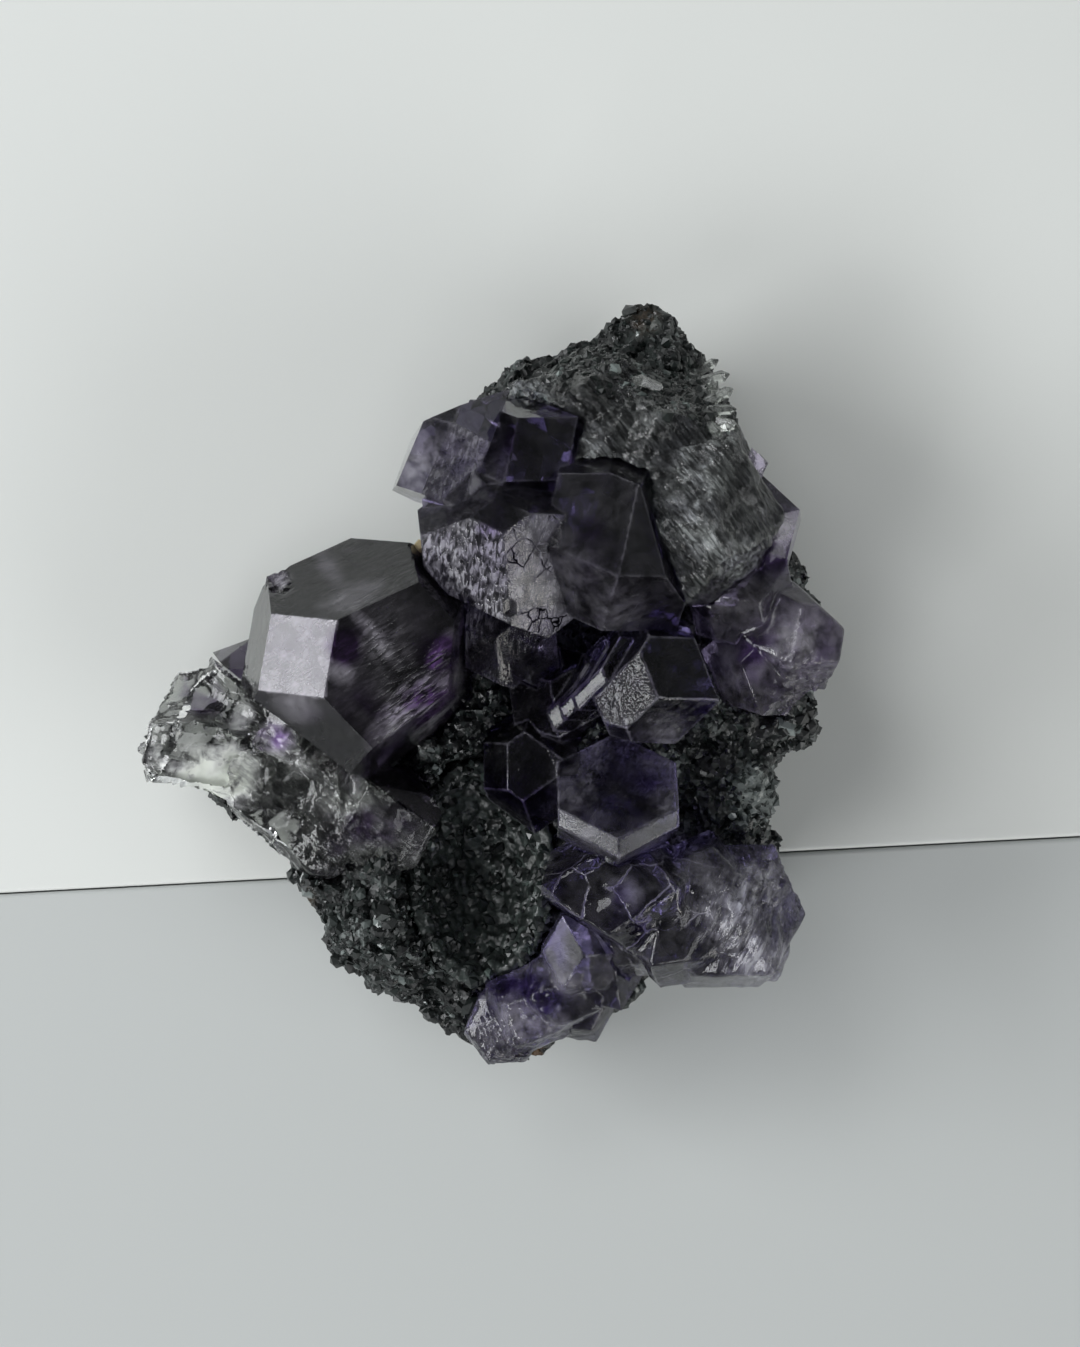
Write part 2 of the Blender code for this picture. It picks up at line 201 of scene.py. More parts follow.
def fluorite(name, look, used):
    made, tree = newMaterial("fluorite_" + name)
    place = addNode(tree, "TexCoord").outputs["Object"]
    layers = {layer: addNode(tree, "Attribute", {"attribute_name": layer}).outputs["Fac"] for layer in used}
    # colour zones a few millimetres wide
    zones = addNode(tree, "TexNoise", {"Scale": 1 / (6 * mm), "Detail": 2.0}, {"Vector": place})
    zoneStep = addNode(tree, "MapRange", {"From Min": 0.40, "From Max": 0.62}, {"Value": zones})
    purpleZone = addNode(tree, "Math", {"operation": "MULTIPLY"}, {0: layers["purple"], 1: zoneStep})
    # milky clouds, with finer wisps in them
    wisps = addNode(tree, "TexNoise", {"Scale": 1 / (1.9 * mm), "Detail": 5.0, "Roughness": 0.6,
                                       "Distortion": 0.3}, {"Vector": place})
    wispStep = addNode(tree, "MapRange", {"From Min": 0.36, "From Max": 0.68, "To Min": look.get("thin", 0.15),
                                          "To Max": 1.2}, {"Value": wisps})
    milkAll = addNode(tree, "Math", {"operation": "MAXIMUM", 1: look["haze"]}, {0: layers["milk"]})
    milkCloud = addNode(tree, "Math", {"operation": "MULTIPLY", "use_clamp": True}, {0: milkAll, 1: wispStep})
    if "strokes" in used:
        # etched strokes or fibres 0.4 mm apart, longer one way, that show in the clouds as streaks
        turned = addNode(tree, "Mapping",
                         {"vector_type": "TEXTURE", "Rotation": (0, 0, math.radians(look["way"])),
                          "Scale": (look["stroke"] * mm, 0.42 * mm, 0.9 * mm)}, {"Vector": place})
        strokes = addNode(tree, "TexNoise", {"Scale": 1.0, "Detail": 2.0, "Distortion": 0.7}, {"Vector": turned})
        streak = addNode(tree, "MapRange", {"From Min": 0.42, "From Max": 0.64, "To Min": 0.12, "To Max": 2.2},
                         {"Value": strokes})
        streaked = addNode(tree, "Mix", {"data_type": "FLOAT", 2: 1.0}, {0: layers["strokes"], 3: streak})
        milkCloud = addNode(tree, "Math", {"operation": "MULTIPLY", "use_clamp": True},
                            {0: milkCloud, 1: streaked})
    opaque = milkCloud
    tint = addNode(tree, "Mix", {"data_type": "RGBA", 6: linear(look["clear"]), 7: linear(look["purple"])},
                   {0: purpleZone})
    milkTint = addNode(tree, "Mix", {"data_type": "RGBA", 6: linear(look["milk"]), 7: linear(look["purple"])},
                       {0: purpleZone})
    colour = addNode(tree, "Mix", {"data_type": "RGBA"},
                     {0: milkCloud, 6: tint.outputs[2], 7: milkTint.outputs[2]}).outputs[2]
    # the relief of etched and frosted faces, as one height in mm, and the grooves and cracks that reflect nothing
    dull = None
    grit = addNode(tree, "TexNoise", {"Scale": 1 / (0.30 * mm), "Detail": 2.0}, {"Vector": place})
    frosted = addNode(tree, "Math", {"operation": "MULTIPLY", 1: 0.05}, {0: layers["frost"]})
    height = addNode(tree, "Math", {"operation": "MULTIPLY"}, {0: frosted, 1: grit})
    if "strokes" in used:
        strokeStep = addNode(tree, "MapRange", {"From Min": 0.38, "From Max": 0.66, "To Max": 0.06},
                             {"Value": strokes})
        height = addNode(tree, "Math", {"operation": "MULTIPLY_ADD"},
                         {0: layers["strokes"], 1: strokeStep, 2: height})
    if {"worms", "cracks", "broken"} & set(used):
        warp = addNode(tree, "TexNoise", {"Scale": 1 / (1.4 * mm), "Detail": 3.0}, {"Vector": place})
        warped = addNode(tree, "VectorMath", {"operation": "MULTIPLY_ADD", 1: (1.1 * mm, 1.1 * mm, 1.1 * mm)},
                         {0: warp.outputs["Color"], 2: place})
    if "worms" in used:
        # wormy ridges about a millimetre apart
        ridges = addNode(tree, "TexVoronoi", {"feature": "DISTANCE_TO_EDGE", "Scale": 1 / (0.95 * mm)},
                         {"Vector": warped})
        ridgeStep = addNode(tree, "MapRange", {"From Min": 0.02, "From Max": 0.24, "To Max": 0.045},
                            {"Value": ridges})
        height = addNode(tree, "Math", {"operation": "MULTIPLY_ADD"},
                         {0: layers["worms"], 1: ridgeStep, 2: height})
        groove = addNode(tree, "MapRange", {"From Min": 0.06, "From Max": 0.20, "To Min": 1.0, "To Max": 0.0},
                         {"Value": ridges})
        dull = addNode(tree, "Math", {"operation": "MULTIPLY"}, {0: groove, 1: layers["worms"]})
    if "cracks" in used:
        # crack lines, broken off here and there
        web = addNode(tree, "TexVoronoi", {"feature": "DISTANCE_TO_EDGE", "Scale": 1 / (look["web"] * mm)},
                      {"Vector": warped})
        webLine = addNode(tree, "MapRange", {"From Min": 0.01 / look["web"], "From Max": 0.15 / look["web"],
                                             "To Min": 1.0, "To Max": 0.0}, {"Value": web})
        webGap = addNode(tree, "MapRange", {"From Min": 0.42, "From Max": 0.52}, {"Value": zones})
        cracked = addNode(tree, "Math", {"operation": "MULTIPLY"}, {0: webLine, 1: layers["cracks"]})
        cracks = addNode(tree, "Math", {"operation": "MULTIPLY"}, {0: cracked, 1: webGap})
        height = addNode(tree, "Math", {"operation": "MULTIPLY_ADD", 1: -0.08}, {0: cracks, 2: height})
        colour = addNode(tree, "Mix", {"data_type": "RGBA", 7: linear(look["line"])},
                         {0: cracks, 6: colour}).outputs[2]
        opaque = addNode(tree, "Math", {"operation": "MULTIPLY_ADD", 1: 0.7, "use_clamp": True},
                         {0: cracks, 2: opaque})
        if look.get("darkCracks"):
            dull = addNode(tree, "Math", {"operation": "MAXIMUM", 1: 0.0},
                           {0: cracks, 1: dull} if dull else {0: cracks})
    facing = addNode(tree, "Bump", {"Strength": 1.0, "Distance": 1 * mm}, {"Height": height})
    if "broken" in used:
        # a fresh break is a mosaic of small facets, each tilted its own way
        facets = addNode(tree, "TexVoronoi", {"Scale": 1 / (1.0 * mm)}, {"Vector": warped})
        tilt = addNode(tree, "VectorMath", {"operation": "SUBTRACT", 1: (0.5, 0.5, 0.5)},
                       {0: facets.outputs["Color"]})
        tiltBy = addNode(tree, "VectorMath", {"operation": "SCALE"}, {0: tilt, "Scale": layers["broken"]})
        tilted = addNode(tree, "VectorMath", {"operation": "ADD"}, {0: facing, 1: tiltBy})
        facing = addNode(tree, "VectorMath", {"operation": "NORMALIZE"}, {0: tilted})
    clearness = addNode(tree, "Math", {"operation": "SUBTRACT", 0: 1.0}, {1: opaque})
    rough = addNode(tree, "MapRange", {"To Min": 0.03, "To Max": 0.44}, {"Value": layers["frost"]})
    rough = addNode(tree, "Math", {"operation": "MULTIPLY_ADD", 1: 0.08}, {0: grit, 2: rough})
    shader = addNode(tree, "BsdfPrincipled", {"IOR": 1.434},
                     {"Base Color": colour, "Transmission Weight": clearness, "Roughness": rough, "Normal": facing})
    if dull:
        gloss = addNode(tree, "Math", {"operation": "MULTIPLY_ADD", 1: -0.5, 2: 0.5}, {0: dull})
        tree.links.new(gloss.outputs[0], shader.inputs["Specular IOR Level"])
    absorb = addNode(tree, "VolumeAbsorption", {"Color": linear(look["absorb"]), "Density": look["density"]})
    addNode(tree, "OutputMaterial", None, {"Surface": shader, "Volume": absorb})
    return made


# where three noises are read for one vector, because noise.noise_vector differs from run to run
noiseShifts = [Vector((9.3, -1.5, -8.0)), Vector((0, 0, 0)), Vector((6.3, 0.2, -2.7))]


def noiseVector(spot):
    return Vector([noise.noise(spot + shift) for shift in noiseShifts])


def wormRelief(place, size):
    # cracked, wormy ground of an etched face: ridges about size mm apart
    spot = place / (size * mm)
    spot = spot + 0.45 * noiseVector(spot * 0.9)
    near = noise.voronoi(spot)[0]
    return min(near[1] - near[0], 0.4) / 0.4 - 0.5


def strokeRelief(place, size, turn):
    # short wavy strokes, longer along one way
    along, over = Vector((math.cos(turn), math.sin(turn), 0)), Vector((-math.sin(turn), math.cos(turn), 0))
    a, b = place.dot(along) / (3.2 * size * mm), place.dot(over) / (size * mm)
    wave = noise.noise(Vector((a * 0.7, b * 0.35, 3.1))) * 1.6
    return noise.noise(Vector((a, b + wave, 0.0))) + 0.5 * noise.noise(Vector((a * 2.1, b * 2.3 + wave, 7.0)))


def softRelief(place, size):
    return noise.fractal(place / (size * mm), 0.8, 2.1, 3)


def brokenRelief(place, size):
    # small flat chips, each tilted its own way, as on a splintered break
    spot = place / (size * mm)
    spot = spot + 0.35 * noiseVector(spot * 0.8)
    middle = noise.voronoi(spot)[1][0]
    tilt = noise.cell_vector(middle * 7.3)
    return max(-2.0, min(0.0, 1.3 * (spot - middle).dot(tilt) + 0.5 * tilt.x - 1.0))


def flakeRelief(place, size):
    # larger, slightly hollow flakes that meet in crisp edges: the lowest of the bowls around
    spot = place / (size * mm)
    away, middles = noise.voronoi(spot)
    lowest = 2.0
    for distance, middle in zip(away, middles):
        tilt = noise.cell_vector(middle * 7.3) * 2 - Vector((1, 1, 1))
        lowest = min(lowest, 0.55 * (spot - middle).dot(tilt) + 0.25 * tilt.x + 0.9 * distance ** 2)
    return max(-1.5, min(0.0, lowest - 0.9))


reliefKinds = {"worm": wormRelief, "soft": softRelief, "broken": brokenRelief, "flake": flakeRelief}

# Each group's faces that aren't plain and smooth, by where the photograph shows them, and what is painted on them.
# "worn" places reach over edges and are carved by a relief of a size and height in mm, "soften" ones have their
# edges rounded off, and "dark" ones are free of clouds. A spot is a column, a row, a radius and a strength. "cell"
# is the mesh's spacing in mm, "cut" the plane that parts a node in two pieces, and "edges" how pale sharp edges
# are painted, a painted highlight for the light that they reflect.
crystalGroups = {
    "left": dict(
        node="fluorite_left", slot="purple_fluorite", cell=0.30,
        cut=dict(through=seen(249, 688, 25), away=(-0.609, -0.793, 0)),
        faces=[dict(at=(300, 650), frost=0.34, milk=0.36, strokes=0.10),
               dict(at=(390, 650), strokes=0.22, frost=0.02),
               dict(at=(340, 575), strokes=0.35, frost=0.05)],
        worn=[dict(spot=(425, 735, 65, 1.0), kind="stroke", size=1.0, height=0.16, turn=60, strokes=0.9,
                   frost=0.25),
              dict(spot=(278, 580, 18, 1.0), kind="broken", size=1.2, height=0.40, broken=0.6)],
        soften=[(425, 760, 50, 0.5)],
        milk=[(376, 638, 12, 0.22, 50, 4.0), (342, 672, 18, 0.30), (395, 630, 60, 0.05), (360, 690, 50, 0.06),
              (408, 705, 22, 0.34, -45, 3.0), (330, 570, 14, 0.12, 60, 2.6), (352, 597, 18, 0.14, -20, 2.6),
              (278, 578, 12, 0.5), (438, 700, 20, 0.34, -60, 2.6), (440, 652, 12, 0.40, -60, 2.5),
              (298, 705, 22, 0.16, 20, 1.5), (355, 650, 34, 0.10)],
        purple=[(345, 645, 30, 1.5), (350, 720, 60, 1.0), (440, 655, 36, 1.4), (440, 720, 70, 1.4),
                (425, 770, 50, 1.0)],
        strokes=[(415, 700, 60, 1.0), (440, 660, 26, 1.0), (380, 650, 60, 0.6)]),
    "spar": dict(
        node="fluorite_left", slot="pale_fluorite", cell=0.30,
        cut=dict(through=seen(248.5, 689, 25), away=(0.609, 0.793, 0)),
        faces=[],
        worn=[dict(spot=(185, 740, 110, 1.4), kind="flake", size=4.8, height=1.7),
              dict(spot=(175, 730, 90, 1.2), kind="flake", size=2.4, height=0.5),
              dict(spot=(275, 785, 60, 1.4), kind="flake", size=3.0, height=1.5, strokes=0.4),
              dict(spot=(330, 800, 60, 1.0), kind="flake", size=2.2, height=0.8, frost=0.05, strokes=0.6),
              dict(spot=(280, 835, 42, 1.3), kind="flake", size=2.6, height=1.1, strokes=0.3),
              dict(spot=(360, 850, 90, 1.0), kind="soft", size=3.0, height=0.4, frost=0.12, strokes=0.8)],
        soften=[(370, 860, 90, 0.5)],
        milk=[(212, 780, 32, 2.4, 20, 1.6), (232, 768, 24, 2.4), (240, 715, 14, 0.8), (150, 760, 12, 0.7, 60, 3.0),
              (275, 738, 22, 1.0), (340, 800, 40, 0.16), (385, 850, 60, 0.12), (300, 765, 20, 0.4)],
        dark=[(172, 756, 16, 1.0, 20, 1.6), (205, 722, 18, 1.0), (262, 790, 20, 1.0)],
        purple=[(205, 690, 36, 1.0), (275, 735, 30, 1.0), (380, 810, 80, 1.1), (330, 860, 60, 0.8)]),
    "upper": dict(
        node="fluorite_upper", slot="smoky_fluorite", cell=0.33,
        faces=[dict(at=(460, 590), strokes=1.2, milk=0.30, frost=0.0),
               dict(at=(528, 585), cracks=1.4, strokes=0.35, frost=0.20, milk=0.34),
               dict(at=(440, 490), worms=0.7, strokes=0.5, frost=0.25, milk=0.40),
               dict(at=(474, 490), frost=0.28, milk=0.9)],
        worn=[dict(spot=(535, 640, 34, 1.0), kind="stroke", size=0.9, height=0.04, turn=70, strokes=0.6)],
        soften=[],
        milk=[(415, 460, 45, 0.30), (385, 520, 40, 0.25), (565, 570, 60, 0.08), (620, 615, 40, 0.12),
              (462, 600, 44, 0.30, 70, 1.3)],
        purple=[(490, 510, 40, 1.0), (600, 540, 50, 1.0), (515, 450, 50, 1.0), (480, 680, 60, 0.9),
                (600, 500, 60, 0.6)],
        strokes=[(462, 605, 55, 1.1, 70, 1.3)],
        frost=[(415, 470, 30, 0.15)], worms=[(470, 690, 50, 0.8)], dark=[(510, 612, 9, 1.0), (505, 508, 22, 1.0)],
        edges=0.12),
    "centre": dict(
        node="fluorite_centre", slot="smoky_fluorite", cell=0.27, glossyEdges=True,
        faces=[dict(at=(625, 695), worms=1.2, strokes=0.3, milk=0.04),
               dict(at=(617, 790), strokes=0.35)],
        worn=[dict(spot=(475, 690, 45, 1.0), kind="worm", size=1.1, height=0.04, worms=1.0, frost=0.10),
              dict(spot=(675, 720, 45, 1.0), kind="soft", size=0.9, height=0.10, strokes=0.3)],
        soften=[],
        milk=[(665, 745, 40, 0.14), (572, 790, 30, 0.18), (590, 840, 40, 0.14), (640, 850, 40, 0.12),
              (672, 800, 30, 0.14), (590, 750, 30, 0.16), (475, 690, 45, 0.10)],
        purple=[(560, 690, 70, 1.0), (650, 770, 60, 1.0), (520, 780, 70, 1.0), (700, 700, 40, 1.0)],
        frost=[(610, 845, 60, 0.5), (575, 800, 30, 0.4)],
        strokes=[(520, 760, 40, 0.6), (620, 780, 60, 0.9)], edges=0.22),
    "etched": dict(
        node="fluorite_etched", slot="greygreen_fluorite", cell=0.33,
        faces=[],
        worn=[dict(spot=(640, 450, 300, 1.4), kind="soft", size=3.2, height=0.40, frost=0.32, strokes=0.8),
              dict(spot=(700, 520, 150, 1.2), kind="stroke", size=1.1, height=0.28, turn=-55),
              dict(spot=(600, 430, 120, 1.2), kind="stroke", size=1.2, height=0.28, turn=-15),
              dict(spot=(528, 405, 34, 1.2), kind="broken", size=1.2, height=0.45, broken=0.8)],
        soften=[(650, 470, 260, 0.4)],
        milk=[(700, 530, 30, 0.34, 55, 2.6), (740, 560, 36, 0.30), (590, 450, 40, 0.20), (650, 420, 40, 0.14),
              (700, 470, 30, 0.30, 50, 1.8), (528, 405, 30, 0.9), (720, 430, 40, 0.2), (765, 590, 40, 0.25)],
        purple=[(700, 600, 60, 0.7), (620, 480, 40, 0.5)],
        broken=[(528, 405, 30, 0.8)]),
    "right": dict(
        node="fluorite_right", slot="purple_fluorite", cell=0.32,
        faces=[],
        worn=[dict(spot=(740, 560, 60, 1.0), kind="stroke", size=1.0, height=0.16, turn=-50, strokes=0.6,
                   frost=0.3),
              dict(spot=(800, 690, 45, 1.0), kind="broken", size=1.4, height=0.35, frost=0.35, broken=0.4)],
        soften=[(790, 620, 90, 0.4)],
        milk=[(790, 535, 40, 0.45), (805, 640, 55, 0.35), (740, 665, 40, 0.3)],
        purple=[(780, 550, 60, 1.0), (765, 660, 60, 1.0), (810, 640, 60, 0.7)],
        frost=[(800, 640, 90, 0.25)]),
    "lowerRight": dict(
        node="fluorite_lower_right", slot="pale_fluorite", cell=0.33,
        faces=[],
        worn=[dict(spot=(610, 910, 90, 1.0), kind="soft", size=4.2, height=0.25),
              dict(spot=(745, 925, 80, 1.2), kind="stroke", size=1.6, height=0.60, turn=66, strokes=0.5, frost=0.1),
              dict(spot=(770, 890, 50, 1.0), kind="broken", size=1.4, height=0.4, frost=0.2, broken=0.4)],
        soften=[(740, 925, 110, 0.5), (640, 910, 90, 0.4)],
        milk=[(625, 895, 24, 0.35), (745, 900, 70, 0.42), (760, 950, 50, 0.45), (700, 870, 30, 0.3)],
        purple=[(590, 900, 80, 1.0), (650, 940, 70, 1.0)],
        cracks=[(620, 910, 110, 1.2)]),
    "lower": dict(
        node="fluorite_lower", slot="violet_fluorite", cell=0.28,
        faces=[dict(at=(559, 940), frost=0.8, strokes=0.3)],
        worn=[dict(spot=(530, 1010, 80, 1.0), kind="soft", size=1.6, height=0.22, frost=0.3),
              dict(spot=(500, 1045, 40, 1.0), kind="broken", size=1.0, height=0.25, frost=0.3, broken=0.4)],
        soften=[(530, 1010, 90, 0.8)],
        milk=[(520, 1010, 60, 0.30), (560, 985, 30, 0.2)],
        purple=[(530, 1010, 120, 1.0)], frost=[(540, 1000, 120, 0.3)]),
}


# How every group is refined: the mesh's depth, how far a face's paint reaches, where an edge counts as sharp, and
# what each surface has at least. Sizes and heights are in mm, and angles in degrees.
refining = dict(depth=8, filled=0.98, faceDepth=0.08, faceAlign=0.90, sharpBelow=0.94, crease=38, leastPurple=0.30,
                waver=0.012, waverSize=1.6, smoothing=0.9, smoothRounds=26)


def facetUnder(piece, across, down):
    # the flat face that the eye meets at this place of the photograph
    hit, place, normal, _ = piece.ray_cast(*eyeRay(across, down))
    return (place, normal) if hit else None


def softenEdges(piece, spots):
    # rounds off the edges where the spots lie
    weights = paint(piece.data, "softened", spots)
    group = piece.vertex_groups.new(name="softened")
    for level in np.linspace(0.1, 1.0, 10):
        chosen = np.nonzero((weights > level - 0.1) & (weights <= level))[0]
        group.add([int(i) for i in chosen], float(level), "REPLACE")
    group.add([int(i) for i in np.nonzero(weights > 1)[0]], 1.0, "REPLACE")
    applyModifier(piece, "SMOOTH", factor=refining["smoothing"], iterations=refining["smoothRounds"],
                  vertex_group="softened")
    piece.vertex_groups.clear()


def relief(entry, place):
    # how far a worn place stands out or in here, as a share of its height
    if entry["kind"] == "stroke":
        return strokeRelief(place, entry["size"], math.radians(entry["turn"]))
    return reliefKinds[entry["kind"]](place, entry["size"])


def keepOneSide(piece, cut):
    # keeps what lies behind a plane, and closes the cut
    pick(piece)
    bpy.ops.object.mode_set(mode="EDIT")
    bpy.ops.mesh.select_all(action="SELECT")
    bpy.ops.mesh.bisect(plane_co=cut["through"], plane_no=cut["away"], use_fill=True, clear_outer=True)
    bpy.ops.object.mode_set(mode="OBJECT")


def edgeness(mesh, normals):
    # 1 on the vertices of sharp edges, which are painted as a thin pale line: a painted highlight for the light that
    # the edges reflect
    corners = np.empty(len(mesh.loops), dtype=np.int64)
    mesh.loops.foreach_get("vertex_index", corners)
    facings = np.empty(len(mesh.polygons) * 3)
    mesh.polygons.foreach_get("normal", facings)
    sizes = np.empty(len(mesh.polygons), dtype=np.int64)
    mesh.polygons.foreach_get("loop_total", sizes)
    facings = np.repeat(facings.reshape(-1, 3), sizes, axis=0)
    flatness = np.ones(len(mesh.vertices))
    np.minimum.at(flatness, corners, (facings * normals[corners]).sum(axis=1))
    return (flatness < refining["sharpBelow"]).astype(float)


def crystalPiece(name, group, piece):
    if "cut" in group:
        keepOneSide(piece, group["cut"])
    facets = []
    for entry in group["faces"]:
        found = facetUnder(piece, *entry["at"])
        if found:
            facets.append((entry, *found))
        else:
            print("no face at", name, entry["at"])
    # an even net of small faces on every crystal face, its edges kept sharp
    cells = max(piece.dimensions) / (group["cell"] * mm)
    applyModifier(piece, "REMESH", mode="SHARP", octree_depth=refining["depth"], sharpness=1.0,
                  scale=min(refining["filled"], cells / 2 ** refining["depth"]), use_remove_disconnected=False)
    if group["soften"]:
        softenEdges(piece, group["soften"])
    mesh = piece.data
    places, normals = vertexArrays(mesh)
    across, down = photoPlaces(places)
    values = {layer: paint(mesh, layer, group.get(layer, [])) for layer in crystalLayers}
    values["purple"] = np.maximum(values["purple"], refining["leastPurple"])
    moved = np.array([refining["waver"] * softRelief(Vector(place), refining["waverSize"]) for place in places])
    for entry, spot, facing in facets:
        off = (places - np.array(spot)) @ np.array(facing)
        onFace = (np.abs(off) < refining["faceDepth"] * mm) & (normals @ np.array(facing) > refining["faceAlign"])
        for layer in crystalLayers:
            values[layer][onFace] = np.maximum(values[layer][onFace], entry.get(layer, 0))
    for entry in group["worn"]:
        weight = np.minimum(softSpot(across, down, entry["spot"]), 1)
        for i in np.nonzero(weight > 0)[0]:
            moved[i] += weight[i] * entry["height"] * relief(entry, Vector(places[i]))
        for layer in crystalLayers:
            values[layer] = np.maximum(values[layer], weight * entry.get(layer, 0))
    # sharp edges get pale clouds painted on them: a painted highlight for the light that they reflect
    edges = edgeness(mesh, normals) * group.get("edges", 0)
    values["milk"] = np.maximum(values["milk"], edges)
    for spot in group.get("dark", []):
        values["milk"] *= 1 - softSpot(across, down, spot)
    places += normals * (moved * mm)[:, None]
    mesh.vertices.foreach_set("co", places.ravel())
    for layer in crystalLayers:
        mesh.attributes[layer].data.foreach_set("value", values[layer].astype(np.float32))
    mesh.update()
    pick(piece)
    if group.get("glossyEdges"):
        bpy.ops.object.shade_smooth()
    else:
        bpy.ops.object.shade_smooth_by_angle(angle=math.radians(refining["crease"]))
    used = [layer for layer in crystalLayers if layer in ("milk", "purple", "frost") or values[layer].any()]
    piece.data.materials.append(fluorite(name, fluoriteLooks[name], used))
    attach(piece, "root")
    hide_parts(group["node"])
    print(name, "crystals", len(mesh.polygons), "faces")
    return piece


# The matrix is a dark, granular, quartz-bearing rock, broken rough, with glittering grains. Its lumps, chips, knobs
# and painted grains have sizes in mm, and "pale" and "brown" are spots as on the crystals.
rock = dict(voxel=0.47, swell=0.25, lump=3.0, lumpHeight=0.75, chip=2.1, chipHeight=0.75,
            knob=1.0, knobHeight=0.30, knobSunk=0.6, restingBelow=0.9, crease=34, grain=0.62, stain="#6a4a20",
            tones=[(0.52, "#050708"), (0.76, "#151918"), (0.92, "#333a38"), (1.0, "#6a706e")],
            pale=[(655, 375, 50, 0.35), (760, 790, 45, 0.9), (712, 690, 50, 0.35), (340, 930, 26, 0.9),
                  (285, 850, 30, 0.7), (360, 985, 26, 0.7), (720, 400, 24, 0.8)],
            brown=[(525, 1052, 24, 0.9), (645, 320, 20, 0.15), (302, 900, 16, 0.3)])


def rockMaterial():
    made, tree = newMaterial("granular_quartz_rock")
    place = addNode(tree, "TexCoord").outputs["Object"]
    broad = addNode(tree, "TexNoise", {"Scale": 1 / (4 * mm), "Detail": 6.0}, {"Vector": place})
    warp = addNode(tree, "TexNoise", {"Scale": 1 / (1.2 * mm), "Detail": 2.0}, {"Vector": place})
    warped = addNode(tree, "VectorMath", {"operation": "MULTIPLY_ADD", 1: (0.8 * mm, 0.8 * mm, 0.8 * mm)},
                     {0: warp.outputs["Color"], 2: place})
    # glassy grains, each with its own tone, gloss and tilt
    grains = addNode(tree, "TexVoronoi", {"Scale": 1 / (rock["grain"] * mm)}, {"Vector": warped})
    grainTone = addNode(tree, "SeparateColor", None, {"Color": grains.outputs["Color"]})
    tone = addNode(tree, "Math", {"operation": "MULTIPLY_ADD", 1: 0.42}, {0: grainTone.outputs["Red"], 2: broad})
    pale = addNode(tree, "Attribute", {"attribute_name": "pale"})
    lifted = addNode(tree, "Math", {"operation": "MULTIPLY_ADD", 1: 0.30}, {0: pale.outputs["Fac"], 2: tone})
    ramp = addNode(tree, "ValToRGB", None, {"Fac": lifted})
    setRamp(ramp, rock["tones"])
    brown = addNode(tree, "Attribute", {"attribute_name": "brown"})
    stained = addNode(tree, "Mix", {"data_type": "RGBA", 7: linear(rock["stain"])},
                      {0: brown.outputs["Fac"], 6: ramp.outputs["Color"]})
    rough = addNode(tree, "MapRange", {"To Min": 0.10, "To Max": 0.65}, {"Value": grainTone.outputs["Green"]})
    grit = addNode(tree, "TexNoise", {"Scale": 1 / (0.35 * mm), "Detail": 3.0}, {"Vector": place})
    bump = addNode(tree, "Bump", {"Strength": 0.8, "Distance": 0.15 * mm}, {"Height": grit})
    tilt = addNode(tree, "VectorMath", {"operation": "SUBTRACT", 1: (0.5, 0.5, 0.5)},
                   {0: grains.outputs["Color"]})
    tilt = addNode(tree, "VectorMath", {"operation": "SCALE", "Scale": 1.1}, {0: tilt})
    facing = addNode(tree, "VectorMath", {"operation": "ADD"}, {0: bump, 1: tilt})
    facing = addNode(tree, "VectorMath", {"operation": "NORMALIZE"}, {0: facing})
    shader = addNode(tree, "BsdfPrincipled", {"IOR": 1.54},
                     {"Base Color": stained.outputs[2], "Roughness": rough, "Normal": facing})
    addNode(tree, "OutputMaterial", None, {"Surface": shader})
    return made


def rockPiece():
    piece = workingCopy("matrix", "rock_matrix")
    applyModifier(piece, "REMESH", mode="VOXEL", voxel_size=rock["voxel"] * mm)
    mesh = piece.data
    places, normals = vertexArrays(mesh)
    moved = np.zeros(len(places))
    for i, place in enumerate(places):
        spot = Vector(place)
        moved[i] = rock["swell"] + rock["lumpHeight"] * noise.fractal(spot / (rock["lump"] * mm), 0.9, 2.2, 4)
        moved[i] += rock["chipHeight"] * brokenRelief(spot, rock["chip"])
        near = noise.voronoi(spot / (rock["knob"] * mm))[0]
        moved[i] += rock["knobHeight"] * (rock["knobSunk"] - near[0])
    moved[places[:, 2] < rock["restingBelow"] * mm] = 0          # the flat underside stays as it is
    places += normals * (moved * mm)[:, None]
    places[:, 2] = np.maximum(places[:, 2], 0)
    mesh.vertices.foreach_set("co", places.ravel())
    mesh.update()
    paint(mesh, "pale", rock["pale"])
    paint(mesh, "brown", rock["brown"])
    pick(piece)
    bpy.ops.object.shade_smooth_by_angle(angle=math.radians(rock["crease"]))
    piece.data.materials.append(rockMaterial())
    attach(piece, "root")
    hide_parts("matrix")
    print("rock", len(mesh.polygons), "faces")
    return piece


# Small angular quartz grains, glassy and mostly dark, that make the broken rock glitter; a share of them are painted
# pale as glints.
grainFields = {
    "rock_grains": dict(
        on="rock", slot="granular_rock", count=2600, size=(0.35, 1.25), sink=0.45, seed=7,
        dense=[(380, 960, 110, 6.0), (300, 850, 70, 3.0), (690, 350, 60, 6.0), (800, 725, 45, 7.0),
               (765, 850, 50, 7.0), (520, 1050, 50, 5.0), (620, 330, 60, 3.0)],
        bare=0.35, tones=("#090b0b", "#262c2a", "#7c8381"), glint=0.10),
    "tip_grains": dict(
        on="etched", slot="granular_rock", count=1500, size=(0.22, 0.95), sink=0.35, seed=5,
        dense=[(655, 355, 62, 1.0, 20, 1.3), (590, 345, 36, 0.6), (712, 400, 30, 1.0, 60, 1.5),
               (560, 370, 20, 0.5)],
        bare=0.0, tones=("#0a0d0c", "#242b28", "#7e8784"), glint=0.10),
    "druse_grains": dict(
        on="druse", slot="dark_druse", count=500, size=(0.55, 0.95), sink=0.3, seed=11,
        dense=[], bare=1.0, tones=("#0c100f", "#1e2523", "#4c5652"), glint=0.04),
}
